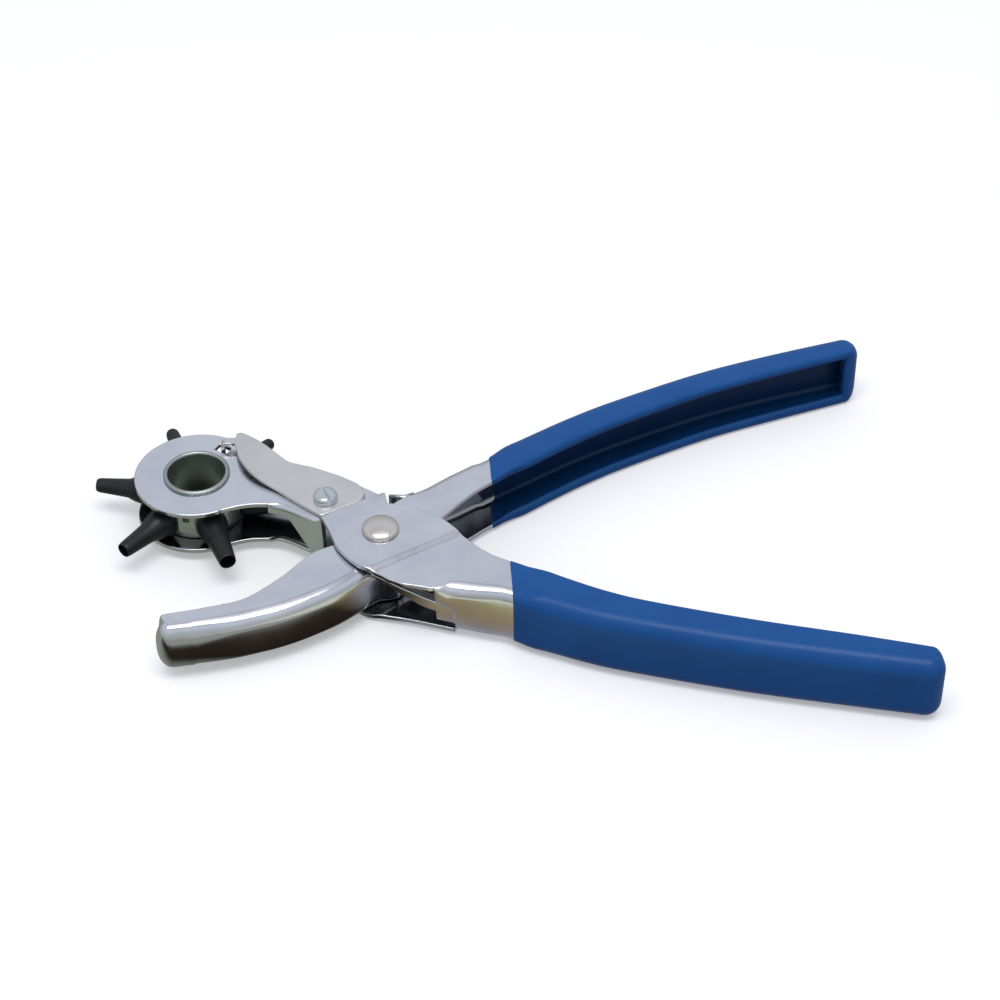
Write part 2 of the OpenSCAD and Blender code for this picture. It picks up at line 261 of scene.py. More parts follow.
class Skin:
    """The outer surface of a piece of sheet, where each point also knows its inner partner."""

    def __init__(self):
        self.outer, self.inner, self.faces, self.index = [], [], [], {}

    def point(self, outer, inner):
        key = tuple(np.round(outer, 3) + 0.0)
        if key not in self.index:
            self.index[key] = len(self.outer)
            self.outer.append(np.array(outer, float))
            self.inner.append(np.array(inner, float))
        return self.index[key]

    def face(self, ids):
        kept = [a for a, b in zip(ids, ids[1:] + ids[:1]) if a != b]
        if len(set(kept)) >= 3:
            self.faces.append(kept)

    def build(self, name, rim, arc_steps=3):
        """Closes the sheet along its free edges with a rounded rim."""
        outer, inner = np.array(self.outer), np.array(self.inner)
        directed = {}
        for face in self.faces:
            for a, b in zip(face, face[1:] + face[:1]):
                directed[(a, b)] = face
        free = [pair for pair in directed if pair[::-1] not in directed]
        away = {}
        for a, b in free:
            corners = outer[directed[(a, b)]]
            normal = np.cross(corners[1] - corners[0], corners[2] - corners[0])
            out = unit(np.cross(outer[b] - outer[a], normal))
            away[a] = away.get(a, 0) + out
            away[b] = away.get(b, 0) + out
        points = list(outer) + list(inner)
        count = len(outer)
        # Inner faces get 1 and the far half of each rim 0.3, which the materials turn into painted shade.
        painted_inner_shade = [0.0] * count + [1.0] * count
        rows = {}
        for i, out in away.items():
            out = unit(out)
            through = inner[i] - outer[i]
            thick = np.linalg.norm(through)
            through = through / thick
            r = min(rim(outer[i]) if callable(rim) else rim, thick * 0.49)
            turns = np.radians(np.linspace(0, 90, arc_steps + 1)[1:])
            near = [outer[i] + out * r * math.sin(t) + through * r * (1 - math.cos(t)) for t in turns]
            far = [inner[i] + out * r * math.sin(t) - through * r * (1 - math.cos(t)) for t in turns]
            first = len(points)
            points += near + far[::-1]
            painted_inner_shade += [0.0] * len(near) + [0.3] * len(far)
            rows[i] = [i, *range(first, first + 2 * arc_steps), count + i]
        faces = [list(f) for f in self.faces] + [[count + i for i in reversed(f)] for f in self.faces]
        for a, b in free:
            for k in range(len(rows[a]) - 1):
                faces.append([rows[b][k], rows[a][k], rows[a][k + 1], rows[b][k + 1]])
        return put(name, points, faces, painted_inner_shade)


def triangulated(boundary, holes, extra):
    """Points and triangles of a flat region with holes, through all the extra points."""
    points = [tuple(p) for p in boundary]
    edges = [(i, (i + 1) % len(points)) for i in range(len(points))]
    for hole in holes:
        first = len(points)
        points += [tuple(p) for p in hole]
        edges += [(first + i, first + (i + 1) % len(hole)) for i in range(len(hole))]
    points += [tuple(p) for p in extra]
    made = delaunay_2d_cdt([Vector(p) for p in points], edges, [], 0, 1e-5, True)
    verts = np.array([points[origin[0]] if origin else tuple(v) for v, origin in zip(made[0], made[3])])
    triangles = np.array(made[2])
    corners = verts[triangles]
    centres = corners.mean(1)
    plump = np.abs(np.cross(corners[:, 1] - corners[:, 0], corners[:, 2] - corners[:, 0])) > 0.01
    keep = inside(boundary, centres) & plump
    for hole in holes:
        keep &= ~inside(np.array(hole), centres)
    borders = {tuple(sorted(edge)) for edge, given in zip(made[1], made[4]) if given}
    return verts, triangles[reached(triangles, keep, borders)]


def reached(triangles, keep, borders):
    """The triangles that join the kept ones without crossing a border. It settles the thin
    ones, whose centres lie too near an edge to test."""
    beside = {}
    for i, trio in enumerate(triangles):
        for a, b in zip(trio, np.roll(trio, -1)):
            beside.setdefault(tuple(sorted((int(a), int(b)))), []).append(i)
    found = set(np.flatnonzero(keep).tolist())
    links = [pair for edge, pair in beside.items() if len(pair) == 2 and edge not in borders]
    grown = True
    while grown:
        before = len(found)
        for i, j in links:
            if i in found or j in found:
                found.update((i, j))
        grown = len(found) > before
    return sorted(found)


def add_plates(skin, verts, triangles, level, thick, sides=(1, -1)):
    """Both plates of a folded channel, or one, at +level and -level."""
    heights, depths = level(verts), thick(verts)
    for side in sides:
        ids = [skin.point((*v, side * z), (*v, side * (z - t)))
               for v, z, t in zip(verts, heights, depths)]
        for trio in triangles:
            skin.face([ids[a] for a in trio][::side])


def fold_rows(across, down, z, t, steps=7):
    """Outer and inner (inset, height) points round a fold, from its plate to its web."""
    turns = np.radians(np.linspace(0, 90, steps + 1))
    return [(across - across * math.sin(a), z - down + down * math.cos(a),
             across - (across - t) * math.sin(a), z - down + (down - t) * math.cos(a)) for a in turns]


def mirrored(rows):
    return [(a, -b, c, -d) for a, b, c, d in reversed(rows)]


def channel(across, down, z, t):
    """Rows of a plain folded channel, with every band solid."""
    top = fold_rows(across, down, z, t)
    low = (z - down) * 0.5
    rows = top + [(0, low, t, low), (0, 0, t, 0), (0, -low, t, -low)] + mirrored(top)
    return rows, [True] * (len(rows) - 1)


def add_fold(skin, loop, normals, columns, rows_at):
    """Folds and web along a run of loop points. rows_at(i) gives the (inset, height) rows of
    the outer and inner face at point i, and which of the bands between them are solid."""
    built = []
    for i in columns:
        rows, solid = rows_at(i)
        ids = []
        for a, b, c, d in rows:
            o, n = loop[i] + normals[i] * a, loop[i] + normals[i] * c
            ids.append(skin.point((*o, b), (*n, d)))
        built.append((ids, solid))
    for (ids, flags), (next_ids, next_flags) in zip(built, built[1:]):
        for k in range(len(ids) - 1):
            if flags[k] and next_flags[k]:
                skin.face([ids[k], ids[k + 1], next_ids[k + 1], next_ids[k]])


def constant(value):
    return lambda p: np.full(len(p), float(value))


def near_lines(lines, offsets, loop, spacing=1.3, margin=0.5):
    """Points along straight lines and their parallels, well inside a loop."""
    out = []
    for line in lines:
        d = unit(line[1] - line[0])
        length = np.linalg.norm(line[1] - line[0])
        for offset in offsets:
            for s in np.arange(-3, length + 3, spacing):
                out.append(line[0] + d * s + left_of(d) * offset)
    out = np.array(out)
    out = out[inside(loop, out)]
    gaps = np.linalg.norm(out[:, None] - loop[None], axis=2).min(1)
    return out[gaps > margin]


def lathe(name, profile, at=(0, 0, 0), axis=(0, 0, 1), turned=96):
    """A ring or solid turned from a closed (radius, distance along the axis) outline."""
    at, axis = np.array(at, float), np.array(axis, float)
    side = unit(np.cross(axis, (0.3, 0.5, 1) if abs(axis[2]) < 0.9 else (1, 0, 0)))
    other = np.cross(axis, side)
    points, rings = [], []
    for r, z in profile:
        if r < 1e-6:
            rings.append([len(points)])
            points.append(at + z * axis)
            continue
        rings.append(list(range(len(points), len(points) + turned)))
        for k in range(turned):
            a = 2 * math.pi * k / turned
            points.append(at + z * axis + r * (math.cos(a) * side + math.sin(a) * other))
    faces = []
    for a, b in zip(rings, rings[1:] + rings[:1]):
        for k in range(turned):
            m = (k + 1) % turned
            if len(a) > 1 and len(b) > 1:
                faces.append([a[k], a[m], b[m], b[k]])
            elif len(b) > 1:
                faces.append([a[0], b[m], b[k]])
            elif len(a) > 1:
                faces.append([a[k], a[m], b[0]])
    obj = put(name, points, faces)
    weigh_normals(obj)
    return obj


def sweep(name, path, section, up=(0, 0, 1)):
    """A closed cross section of (sideways, upwards) points carried along a path."""
    path, up = np.array(path, float), np.array(up, float)
    ahead = path[np.minimum(np.arange(len(path)) + 1, len(path) - 1)]
    behind = path[np.maximum(np.arange(len(path)) - 1, 0)]
    run = unit(ahead - behind)
    sideways = unit(np.cross(up, run))
    upwards = np.cross(run, sideways)
    points = [p + a * s + b * u for p, s, u in zip(path, sideways, upwards) for a, b in section]
    n = len(section)
    faces = [[i * n + k, (i + 1) * n + k, (i + 1) * n + (k + 1) % n, i * n + (k + 1) % n]
             for i in range(len(path) - 1) for k in range(n)]
    faces += [list(range(n)), list(range((len(path) - 1) * n, len(path) * n))[::-1]]
    obj = put(name, points, faces)
    weigh_normals(obj)
    return obj


# ---- Materials ----

class Look:
    """A node material with a short way to add and link nodes."""

    def __init__(self, name, **fixed):
        self.material = bpy.data.materials.new(name)
        self.material.use_nodes = True
        self.tree = self.material.node_tree
        self.shader = self.tree.nodes["Principled BSDF"]
        for key, value in fixed.items():
            self.shader.inputs[key.replace("_", " ")].default_value = value
        self.place = self.add("ShaderNodeTexCoord").outputs["Object"]

    def add(self, kind, **values):
        node = self.tree.nodes.new(kind)
        for key, value in values.items():
            if hasattr(node, key):
                setattr(node, key, value)
            else:
                node.inputs[key.replace("_", " ")].default_value = value
        return node

    def link(self, output, to):
        self.tree.links.new(output, to)

    def stretched(self, scale, turn=0.0):
        node = self.add("ShaderNodeMapping")
        node.inputs["Scale"].default_value = scale
        node.inputs["Rotation"].default_value = (0, 0, math.radians(turn))
        self.link(self.place, node.inputs["Vector"])
        return node.outputs["Vector"]

    def noise(self, scale, detail=4.0, place=None, roughness=0.55):
        node = self.add("ShaderNodeTexNoise")
        node.inputs["Scale"].default_value = scale
        node.inputs["Detail"].default_value = detail
        node.inputs["Roughness"].default_value = roughness
        self.link(place or self.place, node.inputs["Vector"])
        return node.outputs["Fac"]

    def ramp(self, source, stops):
        node = self.add("ShaderNodeValToRGB")
        for i, (at, value) in enumerate(stops):
            stop = node.color_ramp.elements[i] if i < 2 else node.color_ramp.elements.new(at)
            stop.position = at
            stop.color = value if len(value) == 4 else (*value, 1)
        self.link(source, node.inputs["Fac"])
        return node.outputs["Color"]

    def spread(self, source, low, high, start=0.3, stop=0.7):
        node = self.add("ShaderNodeMapRange")
        for key, value in (("From Min", start), ("From Max", stop), ("To Min", low), ("To Max", high)):
            node.inputs[key].default_value = value
        self.link(source, node.inputs["Value"])
        return node.outputs["Result"]

    def shaded(self, colour, amount, factor):
        """The colour, darkened by the factor where amount is 1."""
        node = self.add("ShaderNodeMix", data_type="RGBA", blend_type="MULTIPLY")
        self.link(amount, node.inputs["Factor"])
        self.link(colour, node.inputs[6])
        node.inputs[7].default_value = (factor, factor, factor, 1)
        return node.outputs[2]

    def bump(self, *layers):
        """Bump from (height, distance in metres) layers, one over another."""
        below = None
        for height, distance in layers:
            node = self.add("ShaderNodeBump")
            node.inputs["Distance"].default_value = distance
            node.inputs["Strength"].default_value = 1.0
            self.link(height, node.inputs["Height"])
            if below is not None:
                self.link(below, node.inputs["Normal"])
            below = node.outputs["Normal"]
        self.link(below, self.shader.inputs["Normal"])

    def colour(self, output):
        self.link(output, self.shader.inputs["Base Color"])

    def rough(self, output):
        self.link(output, self.shader.inputs["Roughness"])


def metal(name, dark, light, rough=(0.2, 0.3), brushed=False, waves=0.00006, turn=0.0, inside=1.0):
    """Plated or bare metal: cloudy tint, uneven polish, faint waves and fine scratches. The
    inside faces of a folded part are darkened by the factor given, as painted shade."""
    look = Look(name, Metallic=1.0)
    clouds = look.noise(90, 5)
    tint = look.ramp(clouds, [(0.3, dark), (0.7, light)])
    painted_inner_shade = look.add("ShaderNodeAttribute", attribute_name="inside").outputs["Fac"]
    look.colour(look.shaded(tint, painted_inner_shade, inside))
    fine = look.noise(900, 3, look.stretched((1, 0.04 if brushed else 1, 1), turn))
    mixed = look.add("ShaderNodeMath", operation="ADD")
    look.link(look.spread(clouds, rough[0], rough[1]), mixed.inputs[0])
    look.link(look.spread(fine, -0.015, 0.02), mixed.inputs[1])
    look.rough(mixed.outputs[0])
    look.bump((look.noise(38, 2), waves), (fine, 0.0000002))
    return look.material


def painted(name, dark, light, rough=(0.3, 0.45), grain=0.00001, shine=0.3, inside=1.0):
    """A non-metal finish with small colour changes and a fine grain. Its inside faces are darkened by the
    factor given, as painted shade.
    """
    look = Look(name, Metallic=0.0, Specular_IOR_Level=shine)
    clouds = look.noise(60, 4)
    painted_inner_shade = look.add("ShaderNodeAttribute", attribute_name="inside").outputs["Fac"]
    look.colour(look.shaded(look.ramp(clouds, [(0.3, dark), (0.7, light)]), painted_inner_shade, inside))
    fine = look.noise(1400, 3)
    look.rough(look.spread(look.noise(240, 4), rough[0], rough[1]))
    look.bump((look.noise(30, 2), 0.0001), (fine, grain))
    return look.material


# Inside faces of the folded sheet are darkened to 0.45, as painted shade.
PLATED = metal("plated steel", (0.62, 0.65, 0.70), (0.74, 0.76, 0.80), (0.15, 0.22), True,
               turn=-25, inside=0.45)
WHEEL_STEEL = metal("wheel steel", (0.50, 0.53, 0.48), (0.66, 0.69, 0.62), (0.38, 0.5))
RIVET_STEEL = metal("rivet steel", (0.36, 0.40, 0.39), (0.48, 0.52, 0.50), (0.3, 0.4))
PEARL_STEEL = metal("pivot rivet steel", (0.66, 0.64, 0.60), (0.78, 0.75, 0.71), (0.2, 0.3))
SCREW_STEEL = metal("screw steel", (0.54, 0.60, 0.62), (0.70, 0.75, 0.76), (0.18, 0.28))
LEAF_STEEL = metal("leaf spring steel", (0.70, 0.69, 0.68), (0.80, 0.78, 0.77), (0.24, 0.32))
WIRE_STEEL = metal("spring wire", (0.20, 0.20, 0.20), (0.32, 0.31, 0.30), (0.3, 0.4))
PLAIN_STEEL = metal("plain steel", (0.34, 0.34, 0.33), (0.48, 0.47, 0.45), (0.32, 0.45))
BRASS = metal("anvil brass", (0.62, 0.42, 0.16), (0.76, 0.55, 0.25), (0.25, 0.4))
BLACK = painted("black oxide", (0.005, 0.006, 0.008), (0.011, 0.013, 0.017), (0.3, 0.42), 0.000004, 0.4)
# Inside faces of the dipped grips are darkened to 0.3, as painted shade.
VINYL = painted("blue vinyl", (0.004, 0.072, 0.27), (0.006, 0.088, 0.31), (0.3, 0.4), 0.000003, 0.25, 0.3)


def finish_piece(obj, material, slot, body, *nodes):
    obj.data.materials.clear()
    obj.data.materials.append(material)
    if body:
        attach(obj, body)
    if nodes:
        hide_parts(*nodes)
    return obj


# ---- Punch arm ----

THROAT = curve([[-42.3, 13.2], [-37, 14.7], [-33, 15], [-29, 14.5], [-25, 12.8], [-21, 10],
                [-18, 7.9], HEAD_CREASE[0]])
HEAD_BACK = curve([HEAD_CREASE[1], [-5, 20.4], [-10.5, 24.5], [-17, 28.2], [-21, 29.6],
                   [-24.3, 30.8], [-27, 33.4], [-31.4, 38.3], [-36.7, 42.6], [-41, 43.3]])
PIVOT_RIGHT = curve([[2, 10.6], [5.4, 9.6], [9.3, 8.2], [13.2, 5.8], [16.7, 2.9],
                     [19.3, -0.2], HANDLE_CREASE[1]])
PIVOT_LEFT = curve([HANDLE_CREASE[0], [-6.4, -12.9], [-9.6, -9], [-11.7, -5.3],
                    [-12.9, -1.5], [-14, 2], HEAD_CREASE[0]])
LOWER_LEAD_IN = curve([HANDLE_CREASE[1], [22.6, -4.6], [25, -7.6], [28.2, -10.8]])
LOWER_WEB_LEAD = curve([HANDLE_CREASE[0], [1.4, -16.2], [6.5, -17.7], [12, -19.7],
                        [18.3, -22.1], [24.4, -24.4]])
NOTCH_END = 18.0
# At each x: how far the top plate's fold reaches in, how far its flap stands out, and the
# height of both edges of its tongue
FLAP_ACROSS = np.array([[13, 0.35], [15, 1.6], [17, 3.6], [20, 4.0], [25, 3.8], [31, 3.3]])
FLAP_SPREAD = np.array([[-3.1, 0], [0.4, 1.3], [2, 2.2], [6, 3.2], [11, 2.8], [15, 2.7], [18, 1.6],
                        [22, 1.0], [28, 0.2], [30, 0]])
TONGUE_TOP = np.array([[-3.1, 7.0], [-0.6, 6], [4.5, 3.5], [9.7, 1.6], [14.6, 0.45], [18, -0.45]])
TONGUE_BOTTOM = np.array([[-3.1, 6.6], [-0.6, 5.4], [4.5, 1.8], [9.6, -1.1], [13.4, -1.9], [18, -1.6]])
TUBE_SWEEP = TIP_REACH + 0.6


def punch_level(p):
    """Height of the punch arm's plates: head, raised pivot plate, then handle."""
    up = smooth(side_of(HEAD_CREASE, p) / -1.2 + 0.5)
    down = smooth(side_of(HANDLE_CREASE, p) / -3.0 + 0.5)
    near_head = side_of(HANDLE_CREASE, p) > 6
    raised = HEAD_HALF + (PIVOT_HALF - HEAD_HALF) * up
    handle = PIVOT_HALF - (PIVOT_HALF - HANDLE_HALF) * down
    return np.where(near_head, raised, handle)


def make_punch_arm():
    lower = curve(LOWER_STATIONS)
    parts = [arc(WHEEL, HEAD_R, 61.6, 293.6, 90), THROAT, PIVOT_LEFT[::-1], LOWER_WEB_LEAD,
             edge(lower, -1), cap(lower), edge(lower, 1)[::-1], LOWER_LEAD_IN[::-1],
             PIVOT_RIGHT[::-1], HEAD_BACK]
    loop, part = refined(*joined(*parts))
    normals = inward(loop)
    x = loop[:, 0]
    away = np.linalg.norm(loop - WHEEL, axis=1)
    throat = (part == 1) & (x > -30)
    handle = np.isin(part, (3, 4, 5))
    ends = smooth((x + 30) / 2.5) * smooth((HEAD_CREASE[0][0] - x) / 2 + 0.1)
    across = np.full((2, len(loop)), RIM)
    across[:, throat] += (THROAT_FOLD - RIM) * ends[throat]
    across[0, handle] = np.interp(x[handle], *FLAP_ACROSS.T)
    across[1, handle] = np.where(x[handle] < NOTCH_END, RIM, HANDLE_FOLD)
    down = np.minimum(across, HANDLE_FOLD)
    spread = np.where(part == 3, np.interp(x, *FLAP_SPREAD.T), 0)
    reach = (across[0] - spread, across[1])
    level = [punch_level(loop + normals * r[:, None]) for r in reach]
    holes = [arc(WHEEL, HOLLOW_R + RIM, 0, 360, 72)[:-1], arc((0, 0), PIVOT_R + RIM, 0, 360, 48)[:-1],
             arc(SCREW_AT, SCREW_R + RIM, 0, 360, 32)[:-1], tooth_slot()]
    skin = Skin()
    for side, row, count in ((1, 0, 4), (-1, 1, 2)):
        boundary = loop + normals * reach[row][:, None]
        creases = near_lines([HEAD_CREASE], (-0.6, -0.3, 0, 0.3, 0.6), boundary, 1.2, 0.4)
        bends = near_lines([HANDLE_CREASE], (-1.5, -0.9, -0.3, 0.3, 0.9, 1.5), boundary, 1.2, 0.4)
        clear = [p for p in np.concatenate([creases, bends])
                 if all(np.linalg.norm(p - h.mean(0)) > 4.6 for h in holes[1:])]
        verts, triangles = triangulated(boundary, holes[:count], clear)
        add_plates(skin, verts, triangles, punch_level, constant(SHEET), (side,))

    def handle_rows(i):
        """A slit frees a slanting tongue from the top plate's flap. Below the tongue the web is
        open, as far as a short tab."""
        high = level[0][i]
        top = fold_rows(across[0, i], down[0, i], high, SHEET)
        bottom = mirrored(fold_rows(across[1, i], down[1, i], level[1][i], SHEET))
        top = [(a - spread[i], z, c - spread[i], d) for a, z, c, d in top]
        if x[i] > NOTCH_END:
            web = [3.5, 0.1, -0.45, -1.6, -4.8, -5.0]
            lean = [spread[i] * (z + high) / (2 * high) for z in web]
            flags = [True] * (len(top) + len(web) + len(bottom) - 1)
        else:
            cut = float(np.interp(x[i], (13.5, 18), (2.3, 0.1)))
            above, below = np.interp(x[i], *TONGUE_TOP.T), np.interp(x[i], *TONGUE_BOTTOM.T)
            web = [cut + 1.5, cut, above, below, -4.8, -5.0]
            lean = [spread[i] * 0.7, spread[i] * 0.5, 0, 0, 0, 0]
            folded = x[i] > 13.8
            flags = [folded] * (len(top) + 1) + [False, True, x[i] > 13.2] + [False] * (len(bottom) + 1)
        rows = top + [(-a, z, SHEET - a, z) for a, z in zip(lean, web)] + bottom
        return rows, flags

    add_fold(skin, loop, normals, np.flatnonzero(handle), handle_rows)

    def throat_rows(i):
        """The web is cut away where the turning punch tubes pass."""
        fold = fold_rows(across[0, i], down[0, i], level[0][i], SHEET)
        top = level[0][i] - down[0, i]
        swept = away[i] < TUBE_SWEEP
        slope = np.clip((x[i] + 24.6) / 5.6, 0, 1)
        low = 0.02 - top if slope >= 1 else 3.85 - (3.55 + top) * slope
        middle = low + (top - low) * 0.6
        rows = fold + [(0, middle, SHEET, middle), (0, low, SHEET, low)] + mirrored(fold)
        whole = not swept and slope >= 1
        return rows, [True] * (len(fold) + 1) + [whole] + [True] * (len(fold) - 1)

    add_fold(skin, loop, normals, np.flatnonzero(throat), throat_rows)
    obj = skin.build("punch_arm_sheet", RIM)
    weigh_normals(obj)
    return finish_piece(obj, PLATED, "plated_steel", "head", "punch_arm")


def tooth_slot():
    """Outline of the slot in the top plate where the leaf's tooth goes down."""
    a = math.radians(TOOTH_ANGLE)
    out, along = np.array([math.cos(a), math.sin(a)]), np.array([-math.sin(a), math.cos(a)])
    middle = WHEEL + TOOTH_REACH * out
    corner, high, wide = 0.6, 1.3 + RIM, 1.9 + RIM
    turns = [arc((u * (high - corner), v * (wide - corner)), corner, start, start + 90, 4)
             for u, v, start in ((1, 1, 0), (-1, 1, 90), (-1, -1, 180), (1, -1, 270))]
    return np.array([middle + out * u + along * v for u, v in np.concatenate(turns)])


# ---- Anvil arm ----

EAR_R = 11.2
NOSE_AT, NOSE_R = (-54.3, -29.3), 3.9
JAW_INNER = curve([[-11.4, -2.6], [-14, -3.6], [-18, -5.6], [-21.5, -9.2], [-25.5, -13.6],
                   [-30, -17.6], [-34.5, -21], [-39, -22.8], [-45, -24], [-50, -25]])
JAW_OUTER = curve([[-48, -32.5], [-42.6, -31.6], [-37.5, -30.6], [-32.4, -29.3],
                   [-27.2, -27.8], [-22, -25.8], [-16.9, -23.3], [-11.7, -20.4],
                   [-7.5, -17.4], [-4, -14.6], [0, -11.7]])
UPPER_INNER_LEAD = np.array([[4.5, -8.8], [10, -2.4], [16.1, 5.4], [21.3, 10.4], [26.9, 15.2]])
UPPER_OUTER_LEAD = curve([[25, 26.6], [18.6, 22.6], [12, 18.6], [7, 15.6]])


def anvil_level(p):
    """Height of the anvil arm's plates: jaw and ears, then the wider handle."""
    out = np.linalg.norm(p, axis=1)
    rise = smooth((out - 15) / 15) * (p[:, 0] > 0)
    return JAW_HALF + (HANDLE_HALF - JAW_HALF) * rise


def make_anvil_arm():
    upper = curve(UPPER_STATIONS)
    parts = [JAW_INNER[:-3], arc(NOSE_AT, NOSE_R, 118, 275, 40), JAW_OUTER, UPPER_INNER_LEAD,
             edge(upper, -1), cap(upper), edge(upper, 1)[::-1], UPPER_OUTER_LEAD,
             arc((0, 0), EAR_R, 78, 191, 30)]
    loop, part = refined(*joined(*parts))
    normals = inward(loop)
    jaw = np.isin(part, (1, 2))
    handle = np.isin(part, (5, 6, 7))
    across = np.full(len(loop), RIM)
    steps = np.linalg.norm(np.roll(loop, -1, 0) - loop, axis=1)
    along = np.concatenate([[0], np.cumsum(steps)[:-1]])
    for chosen, fold, lead, tail in ((jaw, JAW_FOLD, 3.0, 6.0), (handle, HANDLE_FOLD, 4.0, 14.0)):
        first, last = along[chosen].min(), along[chosen].max()
        grow = smooth((along[chosen] - first) / lead + 0.02) * smooth((last - along[chosen]) / tail + 0.02)
        across[chosen] += (fold - RIM) * grow
    across[part == 1] = np.minimum(across[part == 1], NOSE_R - 0.35)
    down = across + np.where(jaw, 2.6 * smooth((-36 - loop[:, 0]) / 16) * smooth((across - 1) / 2), 0)
    boundary = loop + normals * across[:, None]
    level = anvil_level(boundary)
    ring = [arc((0, 0), r, -75, 100, 30) for r in np.arange(15, 31, 2)]
    extra = np.concatenate(ring)
    extra = extra[inside(boundary, extra)]
    gaps = np.linalg.norm(extra[:, None] - boundary[None], axis=2).min(1)
    extra = extra[gaps > 0.5]
    hole = arc((0, 0), PIVOT_R + 0.05 + RIM, 0, 360, 48)[:-1]
    skin = Skin()
    verts, triangles = triangulated(boundary, [hole], extra)
    add_plates(skin, verts, triangles, anvil_level, constant(SHEET))

    for chosen in (jaw, handle):
        add_fold(skin, loop, normals, np.flatnonzero(chosen),
                 lambda i: channel(across[i], down[i], level[i], SHEET))
    obj = skin.build("anvil_arm_sheet", RIM)
    weigh_normals(obj)
    finish_piece(obj, PLATED, "plated_steel", "jaw", "anvil_arm")
    t, h, c = SHEET / 2, JAW_HALF - 0.1, 0.35
    section = [(-t + c, -h), (t - c, -h), (t, -h + c), (t, h - c), (t - c, h), (-t + c, h),
               (-t, h - c), (-t, -h + c)]
    path = [(9.2, 16.0, 0), (7.2, 15.2, 0), (6.2, 15.2, 0), (2.5, 15.5, 0)]
    stub = sweep("anvil_arm_stub", path, section)
    return finish_piece(stub, PLATED, "plated_steel", "jaw")


# ---- Dipped grips ----

def make_grip(name, stations, leads, web_side, start, body, node):
    """Plastic that coats a handle inside and out and feathers to a thin edge at its dip line."""
    line = curve(stations)

    def full(points):
        return smooth((points[:, 0] - start) / 8.0)

    def extra(points):
        return 0.2 + (DIP - 0.2) * full(points)

    def wall(points):
        return extra(points) + SHEET + 0.3 + (LINING - 0.3) * full(points)

    def lip_of(points):
        return np.minimum(wall(points) * 0.48, RIM + 1.05 * (extra(points) - 0.1))

    grown = extra(line[:, :2])
    right, left = edge(line, -1, grown), edge(line, 1, grown)
    right, left = (beyond(np.vstack([lead, side]), start) for lead, side in zip(leads, (right, left)))
    loop, part = refined(*joined(right, cap(line, grown[-1]), left[::-1]), 1.4)
    normals = inward(loop)
    front = np.abs(loop[:, 0] - start) < NEAR_DIP
    normals[front] = np.c_[np.zeros(front.sum()), np.sign(normals[front, 1])]
    loop[front, 0] = start + NEAR_DIP
    steps = np.linalg.norm(np.roll(loop, -1, 0) - loop, axis=1)
    along = np.concatenate([[0], np.cumsum(steps)[:-1]])
    folded = np.isin(part, (0, 1) if web_side < 0 else (1, 2))
    first, last = along[folded].min(), along[folded].max()
    grow = smooth(((last - along) if web_side < 0 else (along - first)) / 5.0 + 0.05)
    lip = lip_of(loop)
    across = np.where(folded, lip + (HANDLE_FOLD + extra(loop) - lip) * grow, lip)
    boundary = loop + normals * across[:, None]
    boundary[front & (part < 0), 1] = loop[front & (part < 0), 1]
    level, thick = HANDLE_HALF + extra(boundary), wall(boundary)
    middle = np.array([p for p in line[::2, :2] if p[0] > start + 2])
    middle = middle[np.linalg.norm(middle[:, None] - boundary[None], axis=2).min(1) > 1.2]
    skin = Skin()
    verts, triangles = triangulated(boundary, [], middle)
    add_plates(skin, verts, triangles, lambda p: HANDLE_HALF + extra(p), wall)
    add_fold(skin, loop, normals, np.flatnonzero(folded),
             lambda i: channel(across[i], across[i], level[i], thick[i]))
    obj = skin.build(name, lambda p: lip_of(p[None])[0], 5)
    weigh_normals(obj)
    return finish_piece(obj, VINYL, "blue_vinyl", body, node)


def beyond(points, start):
    """The part of a line of points past x = start, cut exactly there."""
    keep = points[points[:, 0] > start + 0.05]
    before = points[points[:, 0] <= start + 0.05][-1]
    t = (start - before[0]) / (keep[0][0] - before[0])
    return np.vstack([before + (keep[0] - before) * t, keep])


make_punch_arm()
make_anvil_arm()
make_grip("lower_grip_dip", LOWER_STATIONS, (LOWER_WEB_LEAD[-1], LOWER_LEAD_IN[-1]), -1,
          LOWER_DIP_X, "head", "lower_grip")
make_grip("upper_grip_dip", UPPER_STATIONS, (UPPER_INNER_LEAD[-1], UPPER_OUTER_LEAD[0]), 1,
          UPPER_DIP_X, "jaw", "upper_grip")


# ---- Rivets ----

def make_wheel_rivet():
    """Hollow rivet: its wall flares near both ends and rolls over the head plates."""
    top = HEAD_HALF
    half = [(8.05, top - 0.6), (8.05, top + 0.02), (8.75, top + 0.02), (8.95, top + 0.2),
            (8.98, top + 0.45), (8.8, top + 0.75), (8.45, top + 0.92), (8.05, top + 0.9),
            (7.8, top + 0.68), (7.68, top + 0.2), (7.6, top - 1.2), (7.45, top - 3.2)]
    profile = [(r, -z) for r, z in half[::-1]] + half
    obj = lathe("wheel_rivet_rolled", profile[::-1], (*WHEEL, 0))
    return finish_piece(obj, RIVET_STEEL, "rivet_steel", "head", "wheel_rivet")


def make_pivot_rivet():
    low, high = node_box("pivot_rivet")
    r = high[0] - 0.02
    seat, top = PIVOT_HALF + 0.01, high[2]
    dome = [(r * math.sin(a), seat + 0.45 + (top - seat - 0.45) * math.cos(a))
            for a in np.radians(np.linspace(0, 90, 19))]
    profile = [*dome, (r, seat + 0.25), (r - 0.2, seat), (PIVOT_R - 0.02, seat), (PIVOT_R - 0.02, -seat),
               (r - 0.2, -seat), (r, -seat - 0.2), (r - 0.4, low[2] + 0.1), (r - 1.2, low[2] + 0.01),
               (0, low[2])]
    obj = lathe("pivot_rivet_domed", profile)
    return finish_piece(obj, PEARL_STEEL, "rivet_steel", "head", "pivot_rivet")


# ---- Turret ----

